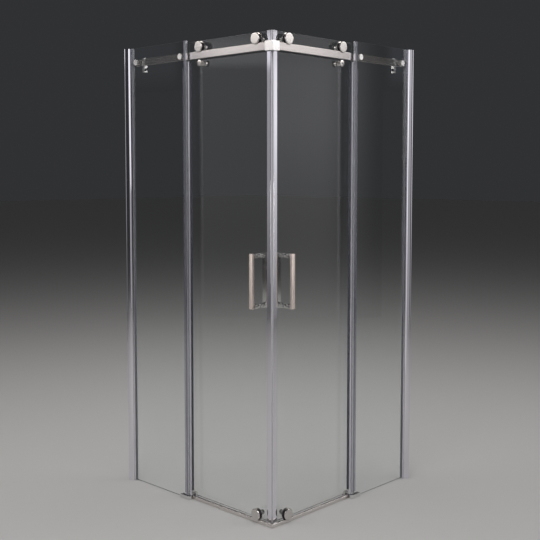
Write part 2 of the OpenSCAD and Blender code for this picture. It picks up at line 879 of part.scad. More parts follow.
// Closed face disc with a bevelled rim, and the thin rear disc that holds the bearing
module discs(p) {
    color(steel) facing_in(p[0], p[1]) {
        rotate_extrude() polygon([[0, face_y], [disc_r - disc_bevel, face_y],
            [disc_r, face_y + disc_bevel], [disc_r, groove_y], [0, groove_y]]);
        ring(disc_r, shoulder_r + rear_bore_clear, groove_back, rear_disc_back);
    }
}

on_front() wall_channel();  // front_wall_channel
on_side() wall_channel();  // side_wall_channel
on_front() glass_channel();  // front_glass_channel
on_side() glass_channel();  // side_glass_channel
on_both() lock_screws();  // channel_screws
on_front() wall_gasket();  // front_wall_gasket
on_side() wall_gasket();  // side_wall_gasket
on_front() fixed_glass();  // front_fixed_glass
on_side() fixed_glass();  // side_fixed_glass
on_front() fixed_seal();  // front_fixed_seal
on_side() fixed_seal();  // side_fixed_seal
on_front() rail();  // front_rail
on_side() rail();  // side_rail
on_front() rail_corner();
on_both() panel_set_screws();  // set_screws
on_both() standoff_cap_pair();  // standoff_caps
on_both() standoff_spacer_pair();  // standoff_spacers
on_both() standoff_washer_set();  // standoff_washers
on_front() stopper();  // front_stopper
on_side() stopper();  // side_stopper
on_both() bumper();  // stopper_bumpers
on_front() threshold();  // front_threshold
on_side() threshold();  // side_threshold
on_front() foot_guide();  // front_foot_guide
on_side() foot_guide();  // side_foot_guide
on_both() guide_pad_pair();  // guide_pads

on_front() door_glass();  // front_door_glass
on_front() edge_profile();  // front_edge_profile
on_front() magnet_strip();  // front_magnet
on_front() trailing_seal();  // front_trailing_seal
on_front() handle_outer();  // front_handle_outer
on_front() handle_inner();  // front_handle_inner
on_front() washers();  // front_washers
on_front() axles();  // front_axles
on_front() bearings();  // front_bearings
on_front() nuts();  // front_nuts
on_front() lift_pin();  // front_lift_pin

on_side() door_glass();  // side_door_glass
on_side() edge_profile();  // side_edge_profile
on_side() magnet_strip();  // side_magnet
on_side() trailing_seal();  // side_trailing_seal
on_side() handle_outer();  // side_handle_outer
on_side() handle_inner();  // side_handle_inner
on_side() washers();  // side_washers
on_side() axles();  // side_axles
on_side() bearings();  // side_bearings
on_side() nuts();  // side_nuts
on_side() lift_pin();  // side_lift_pin

on_front() tyre(lead_roller);  // front_lead_tyre
on_front() discs(lead_roller);  // front_lead_discs
on_front() tyre(trail_roller);  // front_trail_tyre
on_front() discs(trail_roller);  // front_trail_discs
on_front() tyre(floor_roller);  // front_floor_tyre
on_front() discs(floor_roller);  // front_floor_discs
on_side() tyre(lead_roller);  // side_lead_tyre
on_side() discs(lead_roller);  // side_lead_discs
on_side() tyre(trail_roller);  // side_trail_tyre
on_side() discs(trail_roller);  // side_trail_discs
on_side() tyre(floor_roller);  // side_floor_tyre
on_side() discs(floor_roller);  // side_floor_discs
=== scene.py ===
import math

import bmesh
import bpy
import numpy as np
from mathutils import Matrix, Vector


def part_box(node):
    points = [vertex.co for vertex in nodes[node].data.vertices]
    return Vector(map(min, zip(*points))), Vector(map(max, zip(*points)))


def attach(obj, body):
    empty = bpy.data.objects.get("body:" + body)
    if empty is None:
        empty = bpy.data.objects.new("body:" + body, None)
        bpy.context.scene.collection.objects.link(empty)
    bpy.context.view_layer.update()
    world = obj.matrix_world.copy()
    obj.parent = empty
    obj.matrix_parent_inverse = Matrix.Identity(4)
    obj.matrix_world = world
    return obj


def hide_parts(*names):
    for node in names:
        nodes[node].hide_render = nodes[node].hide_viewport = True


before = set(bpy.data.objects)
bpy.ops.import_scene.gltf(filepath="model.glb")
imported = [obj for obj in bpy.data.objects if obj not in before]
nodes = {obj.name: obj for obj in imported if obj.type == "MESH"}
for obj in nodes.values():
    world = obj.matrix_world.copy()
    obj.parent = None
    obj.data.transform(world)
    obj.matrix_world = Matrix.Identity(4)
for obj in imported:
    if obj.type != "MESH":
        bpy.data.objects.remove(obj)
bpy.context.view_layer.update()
mm = 0.001
panels = ("front", "side")
cornerAt = -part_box("front_fixed_glass")[0].y   # from the middle to a panel's outer face, in metres
print("frame loaded:", len(nodes), "nodes")


# Camera
cameraSet = {
    "place": (2.8431, -2.9546, 1.397),
    "yaw": 43.863,
    "tilt": 3.987,      # degrees below level
    "lens": 60.7,
    "sensor": 36.0,
    "shiftY": -0.06,
}


# The camera looks level along +Y first, then turns by the yaw and down by the tilt
def makeCamera(put):
    data = bpy.data.cameras.new("photoCamera")
    data.lens = put["lens"]
    data.sensor_width = put["sensor"]
    data.shift_y = put["shiftY"]
    camera = bpy.data.objects.new("photoCamera", data)
    camera.location = put["place"]
    camera.rotation_euler = (math.radians(90 - put["tilt"]), 0, math.radians(put["yaw"]))
    bpy.context.scene.collection.objects.link(camera)
    bpy.context.scene.camera = camera


makeCamera(cameraSet)
print("camera made")


# Places
# Both panels are described alike, in mm: along from the outer corner to the wall, depth into the
# shower, and height. Along runs towards -X on the front panel and towards +Y on the side panel.

# World metres from panel mm: the corner less the along and the depth less the corner are x and y
# on the front panel; on the side panel they are the corner less the depth, the along less the corner
def toWorld(panel, points):
    along, depth, height = np.moveaxis(np.asarray(points) * mm, -1, 0)
    if panel == "front":
        return np.stack([cornerAt - along, depth - cornerAt, height], axis=-1)
    return np.stack([cornerAt - depth, along - cornerAt, height], axis=-1)


# Lowest and highest point of a CAD node's box in panel mm: toWorld turned round
def panelBox(node):
    low, high = (np.array(end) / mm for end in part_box(node))
    corner = cornerAt / mm
    if node.startswith("side"):
        ends = [(low[1] + corner, corner - high[0], low[2]),
                (high[1] + corner, corner - low[0], high[2])]
    else:
        ends = [(corner - high[0], low[1] + corner, low[2]),
                (corner - low[0], high[1] + corner, high[2])]
    return np.round(ends, 3)


# Middle of a CAD node's box, to a tenth of a mm because the facets of round pieces fall short
def middleOf(node):
    return np.round(panelBox(node).mean(axis=0), 1)


# Material tools
number = "NodeSocketFloat"
colour = "NodeSocketColor"
vector = "NodeSocketVector"


# A material with nodes, its tree and its Principled shader
def newMaterial(name):
    material = bpy.data.materials.new(name)
    material.use_nodes = True
    tree = material.node_tree
    shader = tree.nodes["Principled BSDF"]
    return material, tree, shader


# Values into a node's sockets, by name or number: another node's socket is linked, and a colour of
# three parts gets an alpha of one
def setInputs(node, values):
    for key, value in values.items():
        socket = node.inputs[key]
        if isinstance(value, bpy.types.NodeSocket):
            node.id_data.links.new(value, socket)
            continue
        if isinstance(value, tuple) and len(value) == 3 and socket.type == "RGBA":
            value = (*value, 1.0)
        socket.default_value = value


# A new node with its settings and what goes into its sockets
def addNode(tree, kind, inputs=None, **settings):
    node = tree.nodes.new(kind)
    for key, value in settings.items():
        setattr(node, key, value)
    setInputs(node, inputs or {})
    return node


# The result of one operation on its values in order
def calculate(tree, operation, *values, clamp=False):
    return addNode(tree, "ShaderNodeMath", dict(enumerate(values)), operation=operation,
                   use_clamp=clamp).outputs[0]


# A shader node group with its named sockets, each input given as kind and default
def newGroup(name, inputs, outputs):
    group = bpy.data.node_groups.new(name, "ShaderNodeTree")
    for label, (kind, default) in inputs.items():
        socket = group.interface.new_socket(name=label, in_out="INPUT", socket_type=kind)
        if default is not None:
            socket.default_value = default
    for label, kind in outputs.items():
        group.interface.new_socket(name=label, in_out="OUTPUT", socket_type=kind)
    return group, group.nodes.new("NodeGroupInput").outputs, group.nodes.new("NodeGroupOutput")


# A finished group placed in a material with its own values
def placeGroup(tree, group, values):
    return addNode(tree, "ShaderNodeGroup", values, node_tree=group).outputs


streakSet = {
    "lines": {"Scale": 1.0, "Detail": 4.0, "Roughness": 0.6},
    "smudge": {"Scale": 6.0, "Detail": 3.0, "Roughness": 0.55},
    "smudgeShare": 0.6,
    "middle": 0.8,      # what lines and smudges add up to on average
}


# Fine lines along one direction: noise on coordinates squeezed along that direction, plus a share
# of a slow smudge, less their average; it adds to the roughness and scales the base colour
def makeStreakGroup(put):
    group, given, leave = newGroup("fineStreaks", {
        "Place": (vector, None), "Squeeze": (vector, (1.0, 1.0, 1.0)), "Roughness": (number, 0.2),
        "Spread": (number, 0.08), "Base": (colour, (0.8, 0.8, 0.8, 1)), "Shade": (number, 0.06),
    }, {"Base": colour, "Roughness": number, "Height": number})
    squeezed = addNode(group, "ShaderNodeVectorMath", {0: given["Place"], 1: given["Squeeze"]},
                       operation="MULTIPLY").outputs["Vector"]
    lines = addNode(group, "ShaderNodeTexNoise", {**put["lines"], "Vector": squeezed}).outputs["Fac"]
    smudge = addNode(group, "ShaderNodeTexNoise", {**put["smudge"], "Vector": given["Place"]})
    both = calculate(group, "MULTIPLY_ADD", smudge.outputs["Fac"], put["smudgeShare"], lines)
    centred = calculate(group, "SUBTRACT", both, put["middle"])
    rough = calculate(group, "MULTIPLY_ADD", centred, given["Spread"], given["Roughness"],
                      clamp=True)
    shade = calculate(group, "MULTIPLY_ADD", centred, given["Shade"], 1.0)
    tint = addNode(group, "ShaderNodeVectorMath", {0: given["Base"], "Scale": shade},
                   operation="SCALE")
    setInputs(leave, {"Base": tint.outputs["Vector"], "Roughness": rough, "Height": lines})
    return group


# The cosine of the angle to the sheet's normal, above which a spot is face and below which edge
paneTurn = {"From Min": 0.98, "From Max": 0.6, "To Min": 0.0, "To Max": 1.0}


# Tint of a sheet: the mask is nought on its faces and rises to one where the surface turns to its
# edges, by the size of the normal's share across the sheet, and it mixes the two colours
def makePaneGroup():
    group, given, leave = newGroup("paneTint", {
        "Normal": (vector, None), "Face": (colour, (0.97, 0.99, 0.98, 1)),
        "Edge": (colour, (0.5, 0.75, 0.68, 1)), "Across": (vector, (0.0, 1.0, 0.0)),
    }, {"Base": colour, "Mask": number})
    facing = addNode(group, "ShaderNodeVectorMath", {0: given["Normal"], 1: given["Across"]},
                     operation="DOT_PRODUCT").outputs["Value"]
    flat = calculate(group, "ABSOLUTE", facing)
    mask = addNode(group, "ShaderNodeMapRange", {**paneTurn, "Value": flat}).outputs["Result"]
    mix = addNode(group, "ShaderNodeMix", {"Factor": mask, 6: given["Face"], 7: given["Edge"]},
                  data_type="RGBA")
    setInputs(leave, {"Base": mix.outputs[2], "Mask": mask})
    return group


streakGroup = makeStreakGroup(streakSet)
paneGroup = makePaneGroup()


# The pane group on the surface's own normal
def tintPane(tree, face, edge, across):
    normal = addNode(tree, "ShaderNodeNewGeometry").outputs["Normal"]
    return placeGroup(tree, paneGroup, {
        "Normal": normal, "Face": face, "Edge": edge, "Across": across})


# Coordinates of the piece itself, in metres
def objectPlace(tree):
    return addNode(tree, "ShaderNodeTexCoord").outputs["Object"]


# The turned pieces' own coordinates: radius, depth and a slow change round the axis
def brushPlace(tree):
    return addNode(tree, "ShaderNodeAttribute", attribute_name="brush").outputs["Vector"]


# The streak group laid on a shader: base colour, roughness and a bump as deep as the given metres
def layStreaks(tree, shader, look, place, base, deep):
    streaks = placeGroup(tree, streakGroup, {
        "Place": place, "Squeeze": look["squeeze"], "Roughness": look["rough"],
        "Spread": look["spread"], "Base": base, "Shade": look["shade"]})
    bump = addNode(tree, "ShaderNodeBump", {
        "Strength": look["bump"], "Distance": deep, "Height": streaks["Height"]})
    setInputs(shader, {"Base Color": streaks["Base"], "Roughness": streaks["Roughness"],
                       "Normal": bump.outputs["Normal"]})


# Light that only casts shadows passes the clear piece: alpha is one less the share for shadow rays
def letShadowThrough(tree, shader, share):
    shadowRay = addNode(tree, "ShaderNodeLightPath").outputs["Is Shadow Ray"]
    setInputs(shader, {"Alpha": calculate(tree, "MULTIPLY_ADD", shadowRay, -share, 1.0)})


# Metals
metalBump = 0.0002
metalLooks = {
    "railSteel": {"base": (0.70, 0.657, 0.638), "rough": 0.18, "spread": 0.03, "shade": 0.07,
                  "squeeze": (18.0, 18.0, 900.0), "bump": 0.012},
    "cornerSteel": {"base": (0.93, 0.915, 0.905), "rough": 0.25, "spread": 0.02, "shade": 0.015,
                    "squeeze": (40.0, 40.0, 600.0), "bump": 0.04},
    "turnedSteel": {"base": (0.66, 0.63, 0.61), "rough": 0.26, "spread": 0.05, "shade": 0.05,
                    "squeeze": (2600.0, 900.0, 300.0), "bump": 0.05, "turned": True},
    "capSteel": {"base": (0.84, 0.83, 0.825), "rough": 0.34, "spread": 0.08, "shade": 0.04,
                 "squeeze": (2600.0, 900.0, 300.0), "bump": 0.03, "turned": True},
    "handleSatin": {"base": (0.86, 0.75, 0.69), "rough": 0.42, "spread": 0.12, "shade": 0.10,
                    "squeeze": (1500.0, 1500.0, 25.0), "bump": 0.10},
    "handlePolish": {"base": (0.80, 0.78, 0.77), "rough": 0.08, "spread": 0.06, "shade": 0.04,
                     "squeeze": (300.0, 300.0, 300.0), "bump": 0.02},
    "polishedProfile": {"base": (0.82, 0.805, 0.86), "rough": 0.08, "spread": 0.04, "shade": 0.04,
                        "squeeze": (900.0, 900.0, 0.2), "bump": 0.003},
    "guideChrome": {"base": (0.74, 0.73, 0.73), "rough": 0.16, "spread": 0.08, "shade": 0.05,
                    "squeeze": (220.0, 220.0, 220.0), "bump": 0.03},
    "sillSteel": {"base": (0.70, 0.665, 0.645), "rough": 0.26, "spread": 0.12, "shade": 0.07,
                  "squeeze": (14.0, 14.0, 700.0), "bump": 0.05},
    "screwSteel": {"base": (0.62, 0.61, 0.60), "rough": 0.28, "spread": 0.10, "shade": 0.06,
                   "squeeze": (500.0, 500.0, 500.0), "bump": 0.05},
    "bearingSteel": {"base": (0.48, 0.48, 0.49), "rough": 0.33, "spread": 0.10, "shade": 0.08,
                     "squeeze": (400.0, 400.0, 400.0), "bump": 0.05},
}


# Brushed or polished metal: streaks that run round the axis on turned pieces
def makeMetal(name):
    look = metalLooks[name]
    material, tree, shader = newMaterial(name)
    place = brushPlace(tree) if look.get("turned") else objectPlace(tree)
    layStreaks(tree, shader, look, place, look["base"], metalBump)
    setInputs(shader, {"Metallic": 1.0})
    return material


# Glass
paneLook = {
    "face": (0.965, 0.985, 0.98), "edge": (0.52, 0.66, 0.62), "edgeRough": 0.15, "ior": 1.5,
    "gloss": 0.35, "shadow": 0.85,
}


# Clear glass, tinted and slightly ground at its edges; the panel's across direction tells them
def makePane(look, name, across):
    material, tree, shader = newMaterial(name)
    tint = tintPane(tree, look["face"], look["edge"], across)
    setInputs(shader, {
        "Base Color": tint["Base"], "IOR": look["ior"], "Transmission Weight": 1.0,
        "Roughness": calculate(tree, "MULTIPLY", tint["Mask"], look["edgeRough"]),
        "Specular IOR Level": look["gloss"]})
    letShadowThrough(tree, shader, look["shadow"])
    return material


# Plastics and rubber
plasticBump = 0.0003
plasticIor = 1.46
softLooks = {
    "clearGasket": {"base": (0.50, 0.51, 0.55), "rough": 0.30, "through": 0.6, "shadow": 0.5,
                    "squeeze": (700.0, 700.0, 3.0), "bump": 0.05},
    "clearWasher": {"base": (0.80, 0.81, 0.83), "rough": 0.25, "through": 0.7, "shadow": 0.5,
                    "squeeze": (300.0, 300.0, 300.0), "bump": 0.03},
    "blackNylon": {"base": (0.016, 0.016, 0.018), "rough": 0.38,
                   "squeeze": (500.0, 500.0, 500.0), "bump": 0.12},
    "blackRubber": {"base": (0.028, 0.028, 0.03), "rough": 0.62,
                    "squeeze": (700.0, 700.0, 700.0), "bump": 0.2},
    "whiteNylon": {"base": (0.76, 0.75, 0.72), "rough": 0.42,
                   "squeeze": (400.0, 400.0, 400.0), "bump": 0.08},
    "magnetCover": {"base": (0.66, 0.65, 0.69), "rough": 0.34,
                    "squeeze": (900.0, 900.0, 4.0), "bump": 0.10},
}
softStreaks = {"spread": 0.12, "shade": 0.08}


# Moulded plastic: faint streaks, and where it lets light through, its share of it
def makeSoft(name):
    look = {**softStreaks, **softLooks[name]}
    material, tree, shader = newMaterial(name)
    layStreaks(tree, shader, look, objectPlace(tree), look["base"], plasticBump)
    if "through" in look:
        setInputs(shader, {"IOR": plasticIor, "Transmission Weight": look["through"]})
        letShadowThrough(tree, shader, look["shadow"])
    return material


# Clear flexible profiles
# The nose colour is a painted sheen and the flank colour is painted shade: the base colour is
# lighter where the profile faces across the pane than along it
sealLooks = {
    "fixedSeal": {"flankShade": (0.50, 0.50, 0.57), "nose": (0.95, 0.94, 0.99), "rough": 0.10,
                  "metal": 0.38, "through": 0.72, "shadow": 0.6},
    "doorSeal": {"flankShade": (0.60, 0.61, 0.68), "nose": (0.70, 0.70, 0.78), "rough": 0.12,
                 "metal": 0.08, "through": 0.90, "shadow": 0.75},
}
sealStreaks = {"squeeze": (700.0, 700.0, 0.25), "spread": 0.06, "shade": 0.10, "bump": 0.02}


# A clear profile whose base colour is painted lighter where it stands across the pane than along it:
# a painted sheen on its nose and painted shade on its flanks
def makeSeal(look, name, across):
    look = {**sealStreaks, **look}
    material, tree, shader = newMaterial(name)
    tint = tintPane(tree, look["flankShade"], look["nose"], across)
    layStreaks(tree, shader, look, objectPlace(tree), tint["Base"], plasticBump)
    setInputs(shader, {"IOR": plasticIor, "Metallic": look["metal"],
                       "Transmission Weight": look["through"]})
    letShadowThrough(tree, shader, look["shadow"])
    return material


acrossPanel = {"front": (0.0, 1.0, 0.0), "side": (1.0, 0.0, 0.0)}
materials = {name: makeMetal(name) for name in metalLooks}
materials.update({name: makeSoft(name) for name in softLooks})
for panel, across in acrossPanel.items():
    materials[f"{panel}_pane"] = makePane(paneLook, f"{panel}Pane", across)
    for seal, look in sealLooks.items():
        materials[f"{panel}_{seal}"] = makeSeal(look, f"{panel}_{seal}", across)
print("materials made:", len(materials))

# Which finish each kind of CAD node takes
nodeFinish = {
    "wall_channel": "polishedProfile", "glass_channel": "polishedProfile",
    "edge_profile": "polishedProfile", "wall_gasket": "clearGasket",
    "door_glass": "pane", "fixed_glass": "pane",
    "fixed_seal": "fixedSeal", "trailing_seal": "doorSeal",
    "rail": "railSteel", "rail_corner": "cornerSteel", "stopper": "cornerSteel",
    "threshold": "sillSteel", "foot_guide": "guideChrome", "guide_pads": "whiteNylon",
    "magnet": "magnetCover", "handle_outer": "handleSatin", "handle_inner": "handlePolish",
    "washers": "clearWasher", "axles": "turnedSteel", "bearings": "bearingSteel",
    "nuts": "turnedSteel", "lift_pin": "turnedSteel", "discs": "turnedSteel",
    "tyre": "blackNylon", "channel_screws": "screwSteel", "set_screws": "screwSteel",
    "standoff_caps": "turnedSteel", "standoff_spacers": "turnedSteel",
    "standoff_washers": "clearWasher", "stopper_bumpers": "blackRubber",
}


# The finish is named by the node without its panel, or by its last word on a roller's parts;
# glass and seals have one material for each panel
def materialOf(node):
    panel, rest = node.split("_", 1)
    kind = rest if panel in panels else node
    if kind not in nodeFinish:
        kind = kind.rsplit("_", 1)[1]
    finish = nodeFinish[kind]
    return materials[finish] if finish in materials else materials[f"{panel}_{finish}"]


for node, piece in nodes.items():
    piece.data.materials.clear()
    piece.data.materials.append(materialOf(node))
print("nodes dressed")


# Shapes
poleR = 0.3         # mm from the axis, where a turned profile starts and ends
sharpAngle = 38     # degrees between two faces, above which their edge stays hard
hexSocket = {"chamfer": 0.25, "floor": 0.05}   # mm, and a share of the half width


# Closed shell over rings of points, each joined to the next; flat faces close the two ends, or the
# last ring joins the first when it wraps
def shellOf(rings, brush, wrap=False):
    count, around = rings.shape[:2]
    ring = np.arange(count if wrap else count - 1)[:, None]
    step = np.arange(around)[None, :]
    following = (step + 1) % around
    upper = (ring + 1) % count
    faces = np.stack([ring * around + step, ring * around + following,
                      upper * around + following, upper * around + step], axis=-1)
    faces = faces.reshape(-1, 4).tolist()
    if not wrap:
        faces.append(list(range(around - 1, -1, -1)))
        faces.append(list(range((count - 1) * around, count * around)))
    return rings.reshape(-1, 3), faces, brush.reshape(-1, 3)


# Profile whose corners are arcs: each corner is its position along the axis, its radius from it and
# its rounding. The arc starts and ends at the rounding over the tangent of half the corner's angle,
# and its middle lies on the bisector, at the rounding over the sine of that half.
def eased(corners, wrap=False, steps=5):
    corners = np.asarray(corners, float)
    rows = []
    for k, (across, out, ease) in enumerate(corners):
        here = np.array([across, out])
        if ease == 0 or (not wrap and k in (0, len(corners) - 1)):
            rows.append(here[None])
            continue
        back = corners[k - 1, :2] - here
        ahead = corners[(k + 1) % len(corners), :2] - here
        back /= np.linalg.norm(back)
        ahead /= np.linalg.norm(ahead)
        half = 0.5 * math.acos(float(np.clip(back @ ahead, -1, 1)))
        inward = (back + ahead) / np.linalg.norm(back + ahead)
        middle = here + inward * ease / math.sin(half)
        start = here + back * ease / math.tan(half) - middle
        end = here + ahead * ease / math.tan(half) - middle
        first = math.atan2(start[1], start[0])
        sweep = (math.atan2(end[1], end[0]) - first + math.pi) % (2 * math.pi) - math.pi
        turn = first + sweep * np.linspace(0, 1, steps)
        rows.append(middle + ease * np.stack([np.cos(turn), np.sin(turn)], axis=-1))
    return np.vstack(rows)


# Surface of revolution: the profile's radius swept round the axis, as cosine and sine of the angle.
# A socket is a hexagonal hole in the first face, its half width and depth: there the radius is the
# half width over the cosine of the angle from the nearest flat.
def turned(profile, centre, axis=1, socket=None, wrap=False, segments=48):
    angle = np.arange(segments) * 2 * math.pi / segments
    sixth = math.pi / 3
    hexagon = 1 / np.cos((angle + sixth / 2) % sixth - sixth / 2)
    rows = np.column_stack([profile, np.zeros(len(profile))])   # position, radius, one if hexagonal
    if socket:
        halfWidth, depth = socket
        mouth, chamfer = rows[0, 0], hexSocket["chamfer"]
        hole = [[mouth + depth, halfWidth * hexSocket["floor"], 0], [mouth + depth, halfWidth, 1],
                [mouth + chamfer, halfWidth, 1], [mouth, halfWidth + chamfer, 1]]
        rows = np.vstack([hole, rows[1:]])
    radius = rows[:, 1:2] * (1 + rows[:, 2:3] * (hexagon - 1))
    parts = [None, None, None]
    parts[axis] = np.repeat(rows[:, 0:1], segments, axis=1) + centre[axis]
    parts[(axis + 1) % 3] = radius * np.cos(angle) + centre[(axis + 1) % 3]
    parts[(axis + 2) % 3] = radius * np.sin(angle) + centre[(axis + 2) % 3]
    brush = np.stack([radius, parts[axis] + 0 * angle + np.cos(angle), 0 * radius + np.sin(angle)],
                     axis=-1)
    return shellOf(np.stack(parts, axis=-1), brush * mm, wrap)


# Bar with rounded edges: a rounded rectangle at each station along the axis, drawn in towards both
# ends by the run of a quarter circle
def roundedBar(low, high, axis, edge, end, steps=5):
    low, high = np.asarray(low, float), np.asarray(high, float)
    quarter = np.linspace(0, math.pi / 2, steps)
    runIn, inset = end * (1 - np.cos(quarter)), end * (1 - np.sin(quarter))
    place = np.concatenate([low[axis] + runIn, (high[axis] - runIn)[::-1]])
    inset = np.concatenate([inset, inset[::-1]])[:, None]
    p, q = (axis + 1) % 3, (axis + 2) % 3
    turn = (quarter[None, :] + np.arange(4)[:, None] * math.pi / 2).ravel()
    sideP = np.repeat([1, -1, -1, 1], steps) * ((high[p] - low[p]) / 2 - edge)
    sideQ = np.repeat([1, 1, -1, -1], steps) * ((high[q] - low[q]) / 2 - edge)
    parts = [None, None, None]
    parts[axis] = np.repeat(place[:, None], 4 * steps, axis=1)
    parts[p] = (low[p] + high[p]) / 2 + sideP + (edge - inset) * np.cos(turn)
    parts[q] = (low[q] + high[q]) / 2 + sideQ + (edge - inset) * np.sin(turn)
    rings = np.stack(parts, axis=-1)
    return shellOf(rings, rings * mm)


# The same shell seen from inside the shower: its depths change sign and its faces turn over
def fromInside(shell):
    points, faces, brush = shell
    points[:, 1] *= -1
    return points, [face[::-1] for face in faces], brush


# An object that rides a body and stands for the CAD nodes that it replaces
def addPiece(name, mesh, finish, body, *replaced):
    mesh.materials.clear()
    mesh.materials.append(materials[finish])
    piece = bpy.data.objects.new(name, mesh)
    bpy.context.scene.collection.objects.link(piece)
    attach(piece, body)
    if replaced:
        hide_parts(*replaced)
    return piece


# One mesh of several shells, each with the panel that it is on; the front panel's mirror image
# turns its faces over, so they are turned back
def makePiece(name, shells, finish, body, *replaced):
    points, faces, brush = [], [], []
    total = 0
    for panel, (shellPoints, shellFaces, shellBrush) in shells:
        turnOver = -1 if panel == "front" else 1
        faces += [[total + k for k in face[::turnOver]] for face in shellFaces]
        points.append(toWorld(panel, shellPoints))
        brush.append(shellBrush)
        total += len(shellPoints)
    mesh = bpy.data.meshes.new(name)
    mesh.from_pydata(np.vstack(points).tolist(), [], faces)
    mesh.attributes.new("brush", "FLOAT_VECTOR", "POINT").data.foreach_set(
        "vector", np.vstack(brush).ravel())
    mesh.shade_smooth()
    mesh.set_sharp_from_angle(angle=math.radians(sharpAngle))
    return addPiece(name, mesh, finish, body, *replaced)


# Bars and clips
# Width of the eased edges in mm, for each kind of CAD node and its new piece
easedSet = {
    "rail": {"piece": "railEased", "width": 0.9},
    "stopper": {"piece": "stopperEased", "width": 0.8},
    "threshold": {"piece": "thresholdEased", "width": 0.7},
    "foot_guide": {"piece": "footGuideEased", "width": 0.8},
}
elbowSet = {"piece": "railElbowEased", "width": 0.8}
easing = {
    "merge": 0.01,      # mm between corners that are one
    "flat": 0.5,        # degrees between triangles that are one face
    "hard": 35,         # degrees between faces, above which an edge is eased
    "segments": 2,
    "weight": 100,      # wide faces keep their own normal
}


# A copy of a solid with its loose triangles merged and its flat faces joined, where a bevel of the
# given width eases every hard edge
def easedCopy(name, node, kind, width):
    mesh = nodes[node].data.copy()
    mesh.name = name
    work = bmesh.new()
    work.from_mesh(mesh)
    bmesh.ops.remove_doubles(work, verts=work.verts, dist=easing["merge"] * mm)
    bmesh.ops.dissolve_limit(work, angle_limit=math.radians(easing["flat"]), verts=work.verts,
                             edges=work.edges, use_dissolve_boundaries=False)
    work.to_mesh(mesh)
    work.free()
    mesh.shade_smooth()
    piece = addPiece(name, mesh, nodeFinish[kind], "frame", node)
    edges = piece.modifiers.new("easedEdges", "BEVEL")
    edges.width = width * mm
    edges.segments = easing["segments"]
    edges.limit_method = "ANGLE"
    edges.angle_limit = math.radians(easing["hard"])
    flat = piece.modifiers.new("flatFaces", "WEIGHTED_NORMAL")
    flat.mode = "FACE_AREA"
    flat.weight = easing["weight"]


for panel in panels:
    for kind, put in easedSet.items():
        easedCopy(f"{panel}_{put['piece']}", f"{panel}_{kind}", kind, put["width"])
easedCopy(elbowSet["piece"], "rail_corner", "rail_corner", elbowSet["width"])
print("bars and clips eased")


# Rollers
rollerNames = ("lead", "trail", "floor")
rollerSet = {
    "domeSteps": (0.02, 0.3, 0.6, 0.85, 1.0),   # shares of the flat face's radius
    "crown": 0.06,
    "bevel": 2.2,
    "faceEase": 0.5,
    "rimEase": 0.6,
    "backEase": 0.4,
    "rearEase": (0.5, 0.8),     # on the tyre's side and at the back
    "rearBore": 10.0,
    "boreEase": 0.3,
    "shoulder": 1.6,            # rounding of the tyre's tread
    "seatR": 11.05,             # where the bearing sits
    "seatAt": 20.35,
    "seatEase": 0.2,
    "lipR": 8.5,
}


# Measures of one roller from the boxes of its discs and tyre: the middle, both radii, and the
# depths between face disc, tyre and rear disc
def rollerOf(panel, which):
    discs, tyre = (panelBox(f"{panel}_{which}_{part}") for part in ("discs", "tyre"))
    along, _, height = middleOf(f"{panel}_{which}_discs")
    return {
        "centre": (along, 0, height), "discR": (discs[1][0] - discs[0][0]) / 2,
        "treadR": tyre[1][0] - along, "faceAt": discs[0][1], "faceBack": tyre[0][1],
        "grooveBack": tyre[1][1], "rearBack": discs[1][1],
    }


# Closed disc: the face falls away by the square of the radius, then comes a bevelled, eased rim
def faceDisc(put, roller):
    face, back, out = (roller[k] for k in ("faceAt", "faceBack", "discR"))
    flatR = out - put["bevel"]
    reach = np.array(put["domeSteps"]) * flatR
    dome = face + put["crown"] * (reach / flatR) ** 2
    rim = eased([(dome[-2], reach[-2], 0), (dome[-1], flatR, put["faceEase"]),
                 (face + put["bevel"], out, put["rimEase"]),
                 (back, out, put["backEase"]), (back, put["lipR"], 0)])
    return turned(np.vstack([np.column_stack([dome, reach])[:-2], rim]), roller["centre"])


# Thin ring behind the tyre
def rearDisc(put, roller):
    at, back, out = (roller[k] for k in ("grooveBack", "rearBack", "discR"))
    bore, boreEase = put["rearBore"], put["boreEase"]
    loop = eased([(at, bore, boreEase), (at, out, put["rearEase"][0]),
                  (back, out, put["rearEase"][1]), (back, bore, boreEase)], wrap=True)
    return turned(loop, roller["centre"], wrap=True)


# Nylon ring with rounded shoulders, hollowed from behind for the bearing
def tyreShell(put, roller):
    at, back, tread = (roller[k] for k in ("faceBack", "grooveBack", "treadR"))
    seatR, seatAt, lipR = (put[k] for k in ("seatR", "seatAt", "lipR"))
    loop = eased([(at, lipR, put["boreEase"]), (at, tread, put["shoulder"]),
                  (back, tread, put["shoulder"]), (back, seatR, put["boreEase"]),
                  (seatAt, seatR, put["seatEase"]), (seatAt, lipR, put["seatEase"])], wrap=True)
    return turned(loop, roller["centre"], wrap=True)


for panel in panels:
    for which in rollerNames:
        node, roller = f"{panel}_{which}", rollerOf(panel, which)
        discs = [(panel, faceDisc(rollerSet, roller)), (panel, rearDisc(rollerSet, roller))]
        makePiece(f"{node}_rollerDiscs", discs, "turnedSteel", f"{node}_roller", f"{node}_discs")
        makePiece(f"{node}_rollerTyre", [(panel, tyreShell(rollerSet, roller))], "blackNylon",
                  f"{node}_roller", f"{node}_tyre")
print("rollers made")


